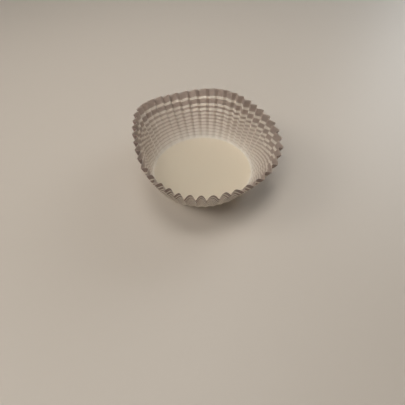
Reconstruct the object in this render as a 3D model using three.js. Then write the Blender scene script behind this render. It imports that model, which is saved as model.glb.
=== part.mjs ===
// A fluted paper baking cup, pressed from one round sheet of greaseproof paper: a flat base and a pleated wall.
// Millimetres, +Z up. The origin is the centre of the underside of the base, and +Y points to the back.
import * as THREE from "three";

// Sheet: the wall's length is measured along the paper, from the edge of the base to the rim
const paperThickness = 0.06;
const baseRadius = 25;
const wallLength = 27;

// Pleats: all of them start at the edge of the base and deepen to the rim
const pleatCount = 45;
const firstPleatAt = 40.3; // degrees, direction of the first outer fold at the base
const outerFoldShare = 0.08; // share of a pleat's width that the rounding of a fold takes up
const innerFoldShare = 0.26;
const frontFoldShare = 0.95; // inner folds at the front of the rim, which have opened to arches

// Stance of the wall in degrees from upright. The mouth has been pinched from the sides, so the wall
// leans out furthest at the back and stands steepest at the left and right.
const meanLean = 26.2;
const leanLobes = [
  { waves: 1, amount: 4.0, towards: 94 },
  { waves: 2, amount: 13.5, towards: 108 },
  { waves: 3, amount: 5.6, towards: 112 },
];

// Drift of the folds sideways at the rim, in degrees around the cup: the pinched mouth crowds
// some pleats and spreads others.
const driftLobes = [
  { waves: 1, amount: 2.2, towards: 211 },
  { waves: 2, amount: 4.3, towards: 53 },
  { waves: 3, amount: 1.8, towards: 92 },
];

// Mesh: rings up the wall, closer together near the base, where the pleats deepen fastest
const wallRings = 6;
const ringCrowding = 1.7;

const degrees = Math.PI / 180;
const halfPleatAngle = Math.PI / pleatCount;

// Sum of a set of lobes, in degrees, in the direction `angle`
function lobed(lobes, angle) {
  return lobes.reduce(
    (sum, lobe) => sum + lobe.amount * Math.cos(lobe.waves * (angle - lobe.towards * degrees)),
    0,
  );
}

function wallLean(angle) {
  return (meanLean + lobed(leanLobes, angle)) * degrees;
}

// Direction in which a fold that starts at `angle` on the base stands at `height`, from 0 at the base to 1 at the rim
function driftedAngle(angle, height) {
  return angle + height * lobed(driftLobes, angle) * degrees;
}

// Half the depth of the pleats. Paper doesn't stretch, so at each distance from the centre of the sheet
// the face of a pleat keeps the width it had in the flat sheet. That width and half the spacing of the
// folds are two sides of a right triangle, and the depth from fold to fold is the third.
function halfPleatDepth(angle, height) {
  const sheetRadius = baseRadius + height * wallLength;
  const wallRadius = baseRadius + height * wallLength * Math.sin(wallLean(angle));
  const faceWidth = sheetRadius * halfPleatAngle;
  const spread = driftedAngle(angle + halfPleatAngle / 2, height) - driftedAngle(angle - halfPleatAngle / 2, height);
  const halfSpacing = wallRadius * spread;
  return Math.sqrt(Math.max(faceWidth ** 2 - halfSpacing ** 2, 0)) / 2;
}

// How far the paper stands out at a share of the way across a pleat: 1 where an outer fold would be sharp,
// -1 where an inner one would. Both folds are parabolas between straight faces. A wider inner fold
// is bent out of the same paper, so the faces beside it stand a little steeper.
function standOfPleat(share, angle, height) {
  const fromOuterFold = Math.abs(share - Math.round(share));
  const fromInnerFold = 0.5 - fromOuterFold;
  const towardsFront = Math.max(-Math.sin(angle), 0) ** 2 * height;
  const arch = (innerFoldShare + (frontFoldShare - innerFoldShare) * towardsFront) / 2;
  const crown = outerFoldShare / 2;
  const steepness = 4 / (1 - 0.7 * arch);
  if (fromInnerFold < arch) {
    return 1 - steepness * (0.5 - arch / 2 - fromInnerFold ** 2 / (2 * arch));
  }
  if (fromOuterFold < crown) {
    return 1 - steepness * (crown / 2 + fromOuterFold ** 2 / (2 * crown));
  }
  return 1 - steepness * fromOuterFold;
}

// Columns of the mesh over one pleat, as shares of the way to the next outer fold
const columnShares = [-outerFoldShare / 2, 0, outerFoldShare / 2, 0.25, 0.4, 0.5, 0.6, 0.75];
const columnCount = pleatCount * columnShares.length;

// Point in the middle of the paper's thickness, on one column of the wall
function wallPoint(column, height) {
  const pleat = Math.floor(column / columnShares.length);
  const share = columnShares[column % columnShares.length];
  const angle = firstPleatAt * degrees + (pleat + share) * 2 * halfPleatAngle;
  const lean = wallLean(angle);
  const climb = height * wallLength;
  const stand = standOfPleat(share, angle, height) * halfPleatDepth(angle, height);
  const radius = baseRadius + climb * Math.sin(lean) + stand * Math.cos(lean);
  const direction = driftedAngle(angle, height);
  return new THREE.Vector3(
    radius * Math.cos(direction),
    radius * Math.sin(direction),
    paperThickness / 2 + climb * Math.cos(lean) - stand * Math.sin(lean),
  );
}

// The middle surface of the sheet as an indexed geometry: the centre of the base first, then one ring
// of columns after another, from the edge of the base to the rim. Its faces point out and down.
function middleSurface() {
  const positions = [0, 0, paperThickness / 2];
  for (let ring = 0; ring <= wallRings; ring++) {
    const height = (ring / wallRings) ** ringCrowding;
    for (let column = 0; column < columnCount; column++) {
      positions.push(...wallPoint(column, height));
    }
  }
  const index = [];
  const vertex = (ring, column) => 1 + ring * columnCount + (column % columnCount);
  for (let column = 0; column < columnCount; column++) {
    index.push(0, vertex(0, column + 1), vertex(0, column));
    for (let ring = 0; ring < wallRings; ring++) {
      const corners = [
        vertex(ring, column),
        vertex(ring, column + 1),
        vertex(ring + 1, column + 1),
        vertex(ring + 1, column),
      ];
      index.push(corners[0], corners[1], corners[2], corners[0], corners[2], corners[3]);
    }
  }
  const surface = new THREE.BufferGeometry();
  surface.setAttribute("position", new THREE.Float32BufferAttribute(positions, 3));
  surface.setIndex(index);
  surface.computeVertexNormals();
  return surface;
}

// The paper itself: the middle surface moved half a thickness outwards and half a thickness inwards,
// and the two skins joined around the rim. The base's skins move straight down and up, so that it is flat.
function paperSheet() {
  const middle = middleSurface();
  const place = middle.getAttribute("position");
  const facing = middle.getAttribute("normal");
  const positions = [];
  for (const side of [1, -1]) {
    for (let i = 0; i < place.count; i++) {
      const outwards = new THREE.Vector3().fromBufferAttribute(facing, i);
      if (i <= columnCount) {
        outwards.set(0, 0, -1);
      }
      const point = new THREE.Vector3().fromBufferAttribute(place, i);
      point.addScaledVector(outwards, (side * paperThickness) / 2);
      positions.push(...point);
    }
  }

  const skin = Array.from(middle.getIndex().array);
  const index = [...skin];
  for (let i = 0; i < skin.length; i += 3) {
    index.push(skin[i] + place.count, skin[i + 2] + place.count, skin[i + 1] + place.count);
  }
  const rimStart = 1 + wallRings * columnCount;
  for (let column = 0; column < columnCount; column++) {
    const here = rimStart + column;
    const next = rimStart + ((column + 1) % columnCount);
    index.push(here, next, next + place.count, here, next + place.count, here + place.count);
  }
  const sheet = new THREE.BufferGeometry();
  sheet.setAttribute("position", new THREE.Float32BufferAttribute(positions, 3));
  sheet.setIndex(index);
  sheet.computeVertexNormals();
  return sheet;
}

const bakingCup = new THREE.Group();

const paper = new THREE.Mesh(
  paperSheet(),
  new THREE.MeshStandardMaterial({ color: 0xa39080, roughness: 0.85, metalness: 0 }),
);
paper.name = "baking_cup";
bakingCup.add(paper);

export default bakingCup;
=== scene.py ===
import math

import bpy
from mathutils import Matrix, Vector


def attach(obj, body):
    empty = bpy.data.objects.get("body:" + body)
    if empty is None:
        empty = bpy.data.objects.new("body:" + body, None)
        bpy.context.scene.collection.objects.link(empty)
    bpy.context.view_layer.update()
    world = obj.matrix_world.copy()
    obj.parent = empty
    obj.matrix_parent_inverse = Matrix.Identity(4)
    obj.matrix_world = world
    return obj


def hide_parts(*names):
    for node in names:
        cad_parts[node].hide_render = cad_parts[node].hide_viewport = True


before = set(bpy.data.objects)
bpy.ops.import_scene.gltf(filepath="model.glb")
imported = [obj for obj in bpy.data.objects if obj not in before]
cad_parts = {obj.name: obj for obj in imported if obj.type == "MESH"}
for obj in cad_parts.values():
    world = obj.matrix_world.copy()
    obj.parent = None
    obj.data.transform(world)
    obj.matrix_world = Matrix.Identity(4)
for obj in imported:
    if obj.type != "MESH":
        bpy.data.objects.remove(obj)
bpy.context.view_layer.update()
scene = bpy.context.scene


# CAMERA
# A wide pocket camera held over the table, looking down at the cup from the front at 44 degrees.
# Places in the picture are in pixels of its 405 by 405 frame.
FRAME_SIDE = 405
FRAME_MIDDLE = (FRAME_SIDE - 1) / 2
FOCAL_LENGTH_IN_PIXELS = 304
SENSOR_WIDTH_IN_MM = 36
NEAREST_SEEN = 0.005
CAMERA_DISTANCE = 0.1593
CAMERA_ELEVATION = math.radians(44.4)
CAMERA_ROLL = math.radians(-1.77)
BASE_CENTRE_PIXEL = (201.73, 168.22)

camera_data = bpy.data.cameras.new("camera")
camera_data.sensor_fit = "HORIZONTAL"
camera_data.sensor_width = SENSOR_WIDTH_IN_MM
camera_data.lens = SENSOR_WIDTH_IN_MM * FOCAL_LENGTH_IN_PIXELS / FRAME_SIDE
camera_data.clip_start = NEAREST_SEEN
camera = bpy.data.objects.new("camera", camera_data)
scene.collection.objects.link(camera)
scene.camera = camera

out_and_up = Vector((0, -math.cos(CAMERA_ELEVATION), math.sin(CAMERA_ELEVATION)))
camera_place = CAMERA_DISTANCE * out_and_up
straight_at_cup = (-camera_place).to_track_quat("-Z", "Y").to_matrix()
base_centre_ray = Vector((
    (BASE_CENTRE_PIXEL[0] - FRAME_MIDDLE) / FOCAL_LENGTH_IN_PIXELS,
    (FRAME_MIDDLE - BASE_CENTRE_PIXEL[1]) / FOCAL_LENGTH_IN_PIXELS,
    -1,
))
aside = base_centre_ray.rotation_difference(Vector((0, 0, -1))).to_matrix()
turned = straight_at_cup @ Matrix.Rotation(CAMERA_ROLL, 3, "Z") @ aside
camera.matrix_world = Matrix.Translation(camera_place) @ turned.to_4x4()


# BAKING CUP
# One round sheet of thin greaseproof paper, 104 mm across, pressed in fluted dies into a flat base
# and a pleated wall. It isn't glued: the crisp folds hold it in shape. The mouth has been pinched
# a little from the sides. The sizes are those of the solid that it stands for.
MM = 0.001
PAPER_THICKNESS = 0.06 * MM
BASE_RADIUS = 25 * MM
WALL_LENGTH = 27 * MM
PLEATS = 45
FIRST_PLEAT_AT = math.radians(40.3)
OUTER_FOLD_ROUNDING = 0.08  # shares of a pleat's width
INNER_FOLD_ROUNDING = 0.26
FRONT_ROUNDING = 0.95  # the inner folds have opened to arches at the front
STEEPENING = 0.7  # how much steeper the faces beside a wide inner fold stand
FRONT_DIRECTION = math.radians(-90)
BACK_DIRECTION = math.radians(106)  # the middle of the part of the wall that leans far out
BACK_SKEW = 0.3  # how far the pleats at the back lie over to one side, as a share of their depth
BACK_DEPTH = 0.3  # how much deeper the pleats at the back are, as a share of their depth
FOOT_ROUNDING = 0.5 * MM  # how softly the wall turns up out of the base

# Lobes are waves around the cup: their number, their height in degrees and where they crest.
MEAN_LEAN = 26.2  # degrees from upright
LEAN_LOBES = ((1, 4.0, 94), (2, 13.5, 108), (3, 5.6, 112))
DRIFT_LOBES = ((1, 2.2, 211), (2, 4.3, 53), (3, 1.8, 92))

# The pleats aren't quite even. Each amount has the scale of the noise that varies it.
UNEVENNESS = 1.0
SEED = 3.1
UNEVEN_LEAN = math.radians(2.0)
LEAN_NOISE_SCALE = 5.0
UNEVEN_SPACING = 0.2  # share of a pleat's width, at the rim
SPACING_NOISE_SCALE = 6.0
UNEVEN_DEPTH = 0.2  # share of a pleat's depth
DEPTH_NOISE_SCALE = 9.0

# Mesh: a fan of triangles in the middle of the base, then rings out to its edge and up the wall
COLUMNS_PER_PLEAT = 16
FAN_SIZE = 4  # how many of the base's rings the fan is wide
BASE_RINGS = 5
WALL_RINGS = 40
RING_CROWDING = 1.4  # above 1, the wall's rings crowd towards its foot, where the pleats start
MERGE_DISTANCE = 0.001 * MM


# A graph wraps a node tree, and a value wraps a number in it. Sums and products of values add
# the Math nodes that work them out, in geometry and in materials alike.
class Value:
    def __init__(self, graph, socket):
        self.graph = graph
        self.socket = socket

    def math(self, operation, *others):
        return self.graph.value("ShaderNodeMath", [self, *others], operation=operation)

    def __add__(self, other):
        return self.math("ADD", other)

    def __radd__(self, other):
        return self.math("ADD", other)

    def __sub__(self, other):
        return self.math("SUBTRACT", other)

    def __rsub__(self, other):
        return self.graph.value("ShaderNodeMath", [other, self], operation="SUBTRACT")

    def __mul__(self, other):
        return self.math("MULTIPLY", other)

    def __rmul__(self, other):
        return self.math("MULTIPLY", other)

    def __truediv__(self, other):
        return self.math("DIVIDE", other)

    def __rtruediv__(self, other):
        return self.graph.value("ShaderNodeMath", [other, self], operation="DIVIDE")

    def __pow__(self, other):
        return self.math("POWER", other)

    def __neg__(self):
        return self * -1

    def __abs__(self):
        return self.math("ABSOLUTE")

    def __lt__(self, other):
        return self.math("LESS_THAN", other)

    def __gt__(self, other):
        return self.math("GREATER_THAN", other)

    def choose(self, if_one, if_zero):
        """if_one where this value is 1, if_zero where it is 0."""
        return self * if_one + (1 - self) * if_zero

    def held_in_unit(self):
        """This value, held between 0 and 1."""
        return self.math("MAXIMUM", 0).math("MINIMUM", 1)


class Graph:
    def __init__(self, tree):
        self.tree = tree

    def node(self, kind, inputs=(), **settings):
        """A new node with its settings made first and then its sockets fed, by place or by name."""
        node = self.tree.nodes.new(kind)
        for name, setting in settings.items():
            setattr(node, name, setting)
        for key, fed in inputs.items() if isinstance(inputs, dict) else enumerate(inputs):
            self.feed(node.inputs[key], fed)
        return node

    def feed(self, socket, fed):
        source = fed.socket if isinstance(fed, Value) else fed
        if isinstance(source, bpy.types.NodeSocket):
            self.tree.links.new(source, socket)
        else:
            socket.default_value = source

    def value(self, kind, inputs=(), output=0, **settings):
        return Value(self, self.node(kind, inputs, **settings).outputs[output])

    def vector(self, x, y, z):
        return self.value("ShaderNodeCombineXYZ", [x, y, z])


def lobed(lobes, angle, slope=False):
    """The sum of the lobes at an angle, in radians, or how fast it changes with the angle."""
    total = 0
    for waves, amount, towards in lobes:
        phase = (angle - math.radians(towards)) * waves
        if slope:
            total = total + phase.math("SINE") * (-waves * math.radians(amount))
        else:
            total = total + phase.math("COSINE") * math.radians(amount)
    return total


def facing(angle, direction):
    """1 where the angle is the direction, falling softly to 0 at right angles to it and beyond."""
    return (angle - direction).math("COSINE").math("MAXIMUM", 0) ** 2


def pleat_profile(from_outer_fold, arch, crown):
    """How far the paper stands out, where 1 is a sharp outer fold and -1 a sharp inner one.

    The straight faces fall from 1 to -1 over half a pleat. Between them the folds are parabolas,
    as wide to each side as crown for the outer one and arch for the inner one. All widths are
    shares of a pleat's width.
    """
    from_inner_fold = 0.5 - from_outer_fold
    steepness = 4 / (1 - STEEPENING * arch)
    face = 1 - steepness * from_outer_fold
    inner_bend = from_inner_fold * from_inner_fold
    arched = 1 - steepness * (0.5 - arch / 2) + steepness * inner_bend / (2 * arch)
    outer_bend = from_outer_fold * from_outer_fold
    crowned = 1 - steepness * (crown / 2 + outer_bend / (2 * crown))
    return (from_inner_fold < arch).choose(arched, (from_outer_fold < crown).choose(crowned, face))


def closed_sheet(graph, pressed, thickness):
    """The pressed faces as the inside, and a copy one thickness outwards as the printed outside."""
    grown = graph.node("GeometryNodeExtrudeMesh", {
        "Mesh": pressed.outputs[0], "Offset Scale": thickness, "Individual": False,
    }, mode="FACES")
    outside = graph.node("GeometryNodeStoreNamedAttribute", {
        "Geometry": grown.outputs["Mesh"], "Name": "printed_side", "Value": grown.outputs["Top"],
    }, data_type="FLOAT", domain="FACE")
    inside = graph.node("GeometryNodeFlipFaces", [pressed.outputs[0]])
    skins = graph.node("GeometryNodeJoinGeometry")
    for skin in (outside, inside):
        graph.feed(skins.inputs[0], skin.outputs[0])
    return graph.node("GeometryNodeMergeByDistance", {
        "Geometry": skins.outputs[0], "Distance": MERGE_DISTANCE})


def pressed_sheet_tree():
    """The sheet: a tube of columns and rings, closed below, laid out on the pressed form."""
    tree = bpy.data.node_groups.new("pressed sheet", "GeometryNodeTree")
    graph = Graph(tree)
    inputs = {
        "Base radius": ("NodeSocketFloat", BASE_RADIUS),
        "Wall length": ("NodeSocketFloat", WALL_LENGTH),
        "Paper thickness": ("NodeSocketFloat", PAPER_THICKNESS),
        "Pleats": ("NodeSocketInt", PLEATS),
        "First pleat": ("NodeSocketFloat", FIRST_PLEAT_AT),
        "Outer rounding": ("NodeSocketFloat", OUTER_FOLD_ROUNDING),
        "Inner rounding": ("NodeSocketFloat", INNER_FOLD_ROUNDING),
        "Front rounding": ("NodeSocketFloat", FRONT_ROUNDING),
        "Back skew": ("NodeSocketFloat", BACK_SKEW),
        "Back depth": ("NodeSocketFloat", BACK_DEPTH),
        "Foot rounding": ("NodeSocketFloat", FOOT_ROUNDING),
        "Unevenness": ("NodeSocketFloat", UNEVENNESS),
        "Seed": ("NodeSocketFloat", SEED),
        "Columns per pleat": ("NodeSocketInt", COLUMNS_PER_PLEAT),
        "Base rings": ("NodeSocketInt", BASE_RINGS),
        "Wall rings": ("NodeSocketInt", WALL_RINGS),
        "Material": ("NodeSocketMaterial", None),
    }
    for name, (kind, _) in inputs.items():
        tree.interface.new_socket(name=name, in_out="INPUT", socket_type=kind)
    tree.interface.new_socket(name="Geometry", in_out="OUTPUT", socket_type="NodeSocketGeometry")
    group_input = graph.node("NodeGroupInput")

    def given(name):
        """The value of one of the tree's inputs."""
        return Value(graph, group_input.outputs[name])

    base_radius = given("Base radius")
    thickness = given("Paper thickness")
    pleats = given("Pleats")
    base_rings = given("Base rings")
    wall_rings = given("Wall rings")

    tube = graph.node("GeometryNodeMeshCylinder", {
        "Vertices": pleats * given("Columns per pleat"),
        "Side Segments": base_rings + wall_rings,
        "Radius": 1.0,
        "Depth": 1.0,
    }, fill_type="TRIANGLE_FAN")
    open_tube = graph.node(
        "GeometryNodeDeleteGeometry", [tube.outputs["Mesh"], tube.outputs["Top"]], domain="FACE")

    # Where a point lies in the tube: its direction, and its ring counted from the base's middle.
    point = graph.node("GeometryNodeInputPosition").outputs[0]
    place = graph.node("ShaderNodeSeparateXYZ", [point]).outputs
    across, along, up = (Value(graph, socket) for socket in place)
    angle = along.math("ARCTAN2", across)
    from_axis = (across * across + along * along).math("SQRT")
    ring = (up + 0.5) * (base_rings + wall_rings)
    height = ((ring - base_rings) / wall_rings).math("MAXIMUM", 0) ** RING_CROWDING
    share_of_base = ((ring + FAN_SIZE) / (base_rings + FAN_SIZE)).math("MINIMUM", 1)
    climb = height * given("Wall length")
    sheet_radius = (share_of_base * base_radius + climb) * from_axis

    # Slow noise around the cup leans, shifts and deepens the pleats.
    circle = graph.vector(angle.math("COSINE"), angle.math("SINE"), 0.0)

    def noise(scale, offset):
        """Slow noise from -1 to 1 around the cup. Each use has an offset of its own."""
        texture = graph.value("ShaderNodeTexNoise", {
            "Vector": circle, "W": given("Seed") + offset, "Scale": scale, "Detail": 1.0,
        }, noise_dimensions="4D")
        return (texture - 0.5) * 2 * given("Unevenness")

    own_lean = noise(LEAN_NOISE_SCALE, 0) * UNEVEN_LEAN
    lean = lobed(LEAN_LOBES, angle) + math.radians(MEAN_LEAN) + own_lean
    drift = lobed(DRIFT_LOBES, angle) * height
    pitch = 2 * math.pi / pleats
    shift = noise(SPACING_NOISE_SCALE, 4) * UNEVEN_SPACING * height
    pleat = (angle - given("First pleat")) / pitch + shift
    from_outer_fold = abs(pleat - pleat.math("ROUND"))
    inner_rounding = given("Inner rounding")
    at_front = facing(angle, FRONT_DIRECTION)
    opened = (given("Front rounding") - inner_rounding) * at_front * height
    stands = pleat_profile(
        from_outer_fold, arch=(inner_rounding + opened) / 2, crown=given("Outer rounding") / 2)

    # Paper doesn't stretch: a pleat's face keeps the width that it had in the flat sheet.
    face_width = sheet_radius * pitch / 2
    wall_radius = base_radius + climb * lean.math("SINE")
    spread = 1 + lobed(DRIFT_LOBES, angle, slope=True) * height
    half_spacing = wall_radius * (pitch / 2) * spread
    squared_depth = face_width * face_width - half_spacing * half_spacing
    kept_depth = squared_depth.math("MAXIMUM", 0).math("SQRT")
    at_back = facing(angle, BACK_DIRECTION)
    deepening = noise(DEPTH_NOISE_SCALE, 8) * UNEVEN_DEPTH + at_back * given("Back depth")
    depth = kept_depth * (1 + deepening)
    stand = stands * depth / 2 * (height > 0)

    # The wall turns up out of the base over a short bend.
    foot = given("Foot rounding")
    bent = foot * (1 - (-climb / foot).math("EXPONENT"))
    sine, cosine = lean.math("SINE"), lean.math("COSINE")
    outwards = climb * sine + bent * (1 - sine) + stand * cosine
    radius = share_of_base * base_radius * from_axis + outwards
    rise = thickness + (climb - bent) * cosine - stand * sine
    turned_to = angle + drift + given("Back skew") * at_back * stand / radius
    marked = graph.node("GeometryNodeStoreNamedAttribute", {
        "Geometry": open_tube.outputs[0],
        "Name": "flat_sheet",
        "Value": graph.vector(
            sheet_radius * angle.math("COSINE"), sheet_radius * angle.math("SINE"), 0.0),
    }, data_type="FLOAT_VECTOR", domain="POINT")
    pressed = graph.node("GeometryNodeSetPosition", {
        "Geometry": marked.outputs[0],
        "Position": graph.vector(
            radius * turned_to.math("COSINE"), radius * turned_to.math("SINE"), rise),
    })

    closed = closed_sheet(graph, pressed, thickness)
    smooth = graph.node("GeometryNodeSetShadeSmooth", {"Geometry": closed.outputs[0]})
    real = graph.node("GeometryNodeRealizeInstances", [smooth.outputs[0]])
    painted = graph.node("GeometryNodeSetMaterial", {
        "Geometry": real.outputs[0], "Material": given("Material")})
    graph.node("NodeGroupOutput", [painted.outputs[0]])
    return tree, inputs


# The print: a solid band at the rim and ever thinner rings below it, each from one distance to
# another, in millimetres up the wall along the paper.
PRINTED_RINGS = (
    (23.2, 28.0), (19.3, 21.8), (16.8, 18.0), (14.5, 15.45), (12.55, 13.45), (10.75, 11.55),
    (9.0, 9.7), (7.3, 7.95), (5.5, 6.05), (3.85, 4.3), (2.15, 2.5),
)
RING_EDGE_SOFTNESS = 0.15
INK_COLOUR = (0.17, 0.09, 0.075, 1)
INK_COVER = 0.86
INK_CLOUDING = 0.2  # how much more the ink covers where the paper's clouds are thick
INK_AT_FOOT = 0.7  # share of the cover that is left down at the foot
INK_HOLDS_BACK = 0.5  # share of the light that the ink stops from passing through
# Rings seen from inside: the print showing through, darkened further by painted shade for the
# backlight the ink holds back.
SHOW_THROUGH_AND_PAINTED_SHADE = (0.54, 0.465, 0.445, 1)

# The paper: cream where it lies flat, greyer up the wall, and paler at the foot as a painted glow
# of the light that passes through the low wall from behind, with fine fibres and slow clouds.
BASE_COLOUR = (0.86, 0.79, 0.66, 1)
# The foot's colour is a painted glow: light through the low wall, painted in as paler paper.
PAINTED_FOOT_GLOW = (0.86, 0.835, 0.79, 1)
WALL_COLOUR = (0.81, 0.755, 0.695, 1)
FOOT_FADES_AT = 7  # millimetres up the wall, where the painted glow of the foot and the thinner ink there end
GLOW_COLOUR = (0.92, 0.87, 0.80, 1)
TRANSLUCENCY = 0.5  # share of the light that passes through the plain paper
FIBRE_SCALE = 2600
CLOUD_SCALE = 160
PAPER_TONE = 0.94  # brightness of the paper between the fibres
FIBRE_TONE = 0.12  # how much brighter a fibre is
PAPER_ROUGHNESS = 0.72
FIBRE_ROUGHNESS = 0.1
PAPER_GLOSS = 0.3
BUMP_STRENGTH = 0.15
BUMP_HEIGHT = 0.03 * MM


def printed_paper():
    """Thin paper that glows where light falls on its other side, with the rings printed outside."""
    material = bpy.data.materials.new("printed_greaseproof_paper")
    material.use_nodes = True
    material.node_tree.nodes.clear()
    graph = Graph(material.node_tree)
    flat_sheet = graph.node("ShaderNodeAttribute", attribute_name="flat_sheet").outputs["Vector"]
    printed_side = graph.value("ShaderNodeAttribute", output="Fac", attribute_name="printed_side")
    sheet_radius = graph.value(
        "ShaderNodeVectorMath", [flat_sheet], output="Value", operation="LENGTH")
    up_the_wall = (sheet_radius - BASE_RADIUS) / MM

    def noise(scale, detail):
        return graph.value(
            "ShaderNodeTexNoise", {"Vector": flat_sheet, "Scale": scale, "Detail": detail})

    def mixed(factor, first, second, blend="MIX"):
        """Two colours mixed. The Mix node's colour sockets are 6 and 7, and 2 on the way out."""
        node = graph.node(
            "ShaderNodeMix", {0: factor, 6: first, 7: second}, data_type="RGBA", blend_type=blend)
        return node.outputs[2]

    ink = 0
    for start, end in PRINTED_RINGS:
        away = abs(up_the_wall - (start + end) / 2)
        ink = ink + (((end - start) / 2 - away) / RING_EDGE_SOFTNESS + 0.5).held_in_unit()
    fibres = noise(FIBRE_SCALE, detail=4)
    clouds = noise(CLOUD_SCALE, detail=3)
    above_foot = (up_the_wall / FOOT_FADES_AT).held_in_unit()
    strength = INK_AT_FOOT + (1 - INK_AT_FOOT) * above_foot
    cover = ink * (INK_COVER + INK_CLOUDING * clouds) * strength

    # The base's colour gives way to the foot's painted glow over one millimetre, half of it on each
    # side.
    on_wall = (up_the_wall + 0.5).held_in_unit()
    plain = mixed(on_wall, BASE_COLOUR, mixed(above_foot, PAINTED_FOOT_GLOW, WALL_COLOUR))
    tone = PAPER_TONE + FIBRE_TONE * fibres
    paper = mixed(1.0, plain, graph.vector(tone, tone, tone), "MULTIPLY")
    outside = mixed(cover, paper, INK_COLOUR)
    # Inside, the print shows through, with painted shade added where the ink holds back the light
    # from behind.
    inside = mixed(cover, paper, SHOW_THROUGH_AND_PAINTED_SHADE, "MULTIPLY")
    bump = graph.node("ShaderNodeBump", {
        "Strength": BUMP_STRENGTH, "Distance": BUMP_HEIGHT, "Height": fibres + clouds})
    surface = graph.node("ShaderNodeBsdfPrincipled", {
        "Base Color": mixed(printed_side, inside, outside),
        "Roughness": PAPER_ROUGHNESS + FIBRE_ROUGHNESS * fibres,
        "Normal": bump.outputs[0],
        "Specular IOR Level": PAPER_GLOSS,
    })
    glow = graph.node("ShaderNodeBsdfTranslucent", {"Color": GLOW_COLOUR})
    passed = TRANSLUCENCY * (1 - INK_HOLDS_BACK * cover * printed_side)
    both = graph.node("ShaderNodeMixShader", [passed, surface.outputs[0], glow.outputs[0]])
    graph.node("ShaderNodeOutputMaterial", {"Surface": both.outputs[0]})
    return material


tree, settings = pressed_sheet_tree()
cup = bpy.data.objects.new("baking_cup_paper", bpy.data.meshes.new("sheet"))
scene.collection.objects.link(cup)
paper_material = printed_paper()
press = cup.modifiers.new("press", "NODES")
press.node_group = tree
for socket in tree.interface.items_tree:
    if socket.in_out == "INPUT":
        setting = settings[socket.name][1]
        press[socket.identifier] = paper_material if socket.name == "Material" else setting
evaluated = cup.evaluated_get(bpy.context.evaluated_depsgraph_get())
pressed_mesh = bpy.data.meshes.new_from_object(evaluated)
cup.modifiers.remove(press)
cup.data = pressed_mesh
pressed_mesh.name = "baking_cup_paper"
pressed_mesh.materials.clear()
pressed_mesh.materials.append(paper_material)

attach(cup, "root")
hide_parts("baking_cup")


# TABLE
# A plain pale table top of laminate with a soft sheen, wide enough to fill the view. It lies a hair
# below the base of the cup, so that the two don't share a plane.
TABLE_SIDE = 3.0
TABLE_DROP = 0.05 * MM
TABLE_COLOUR = (0.48, 0.43, 0.38, 1)
TABLE_ROUGHNESS = 0.5

half = TABLE_SIDE / 2
table_corners = [(-half, -half, 0), (half, -half, 0), (half, half, 0), (-half, half, 0)]
table_mesh = bpy.data.meshes.new("table")
table_mesh.from_pydata(table_corners, [], [(0, 1, 2, 3)])
table = bpy.data.objects.new("table", table_mesh)
table.location.z = -TABLE_DROP
scene.collection.objects.link(table)
table_material = bpy.data.materials.new("table_laminate")
table_material.use_nodes = True
table_shader = table_material.node_tree.nodes["Principled BSDF"]
table_shader.inputs["Base Color"].default_value = TABLE_COLOUR
table_shader.inputs["Roughness"].default_value = TABLE_ROUGHNESS
table_mesh.materials.append(table_material)


# LIGHT
# A broad soft light behind the cup on the right, as from a window, others from the front, the left
# and above, and a pale room around. The one from the left is low, to draw the pleats at the back.
COOL_WHITE = (0.93, 0.98, 1.0)
LAMP_WHITE = (1.0, 0.955, 0.88)
WARM_WHITE = (1.0, 0.96, 0.89)
SOFT_WHITE = (1.0, 0.97, 0.92)
ROOM_COLOUR = (0.95, 0.92, 0.88, 1)
ROOM_STRENGTH = 0.13


def soft_light(name, place, side, power, colour, aim=(0, 0, 0), spread=180):
    """A square light. Place, side and aim are in metres, power in watts and spread in degrees."""
    data = bpy.data.lights.new(name, "AREA")
    data.shape = "SQUARE"
    data.size = side
    data.spread = math.radians(spread)
    data.energy = power
    data.color = colour
    light = bpy.data.objects.new(name, data)
    looking = (Vector(aim) - Vector(place)).to_track_quat("-Z", "Y").to_matrix().to_4x4()
    light.matrix_world = Matrix.Translation(place) @ looking
    scene.collection.objects.link(light)


soft_light("window", (0.62, 0.56, 0.42), side=0.45, power=2.8, colour=COOL_WHITE)
soft_light("ceiling", (-0.28, -0.3, 0.68), side=0.3, power=2.0, colour=LAMP_WHITE)
soft_light("doorway", (-0.72, -0.05, 0.55), side=0.35, power=2.4, colour=WARM_WHITE)
soft_light(
    "overhead", (0.0, 0.1, 0.8), side=0.4, power=0.25, colour=SOFT_WHITE,
    aim=(-0.02, 0.08, 0), spread=45,
)
room = bpy.data.worlds.new("room")
room.use_nodes = True
room_light = room.node_tree.nodes["Background"]
room_light.inputs["Color"].default_value = ROOM_COLOUR
room_light.inputs["Strength"].default_value = ROOM_STRENGTH
scene.world = room
scene.view_settings.view_transform = "Standard"
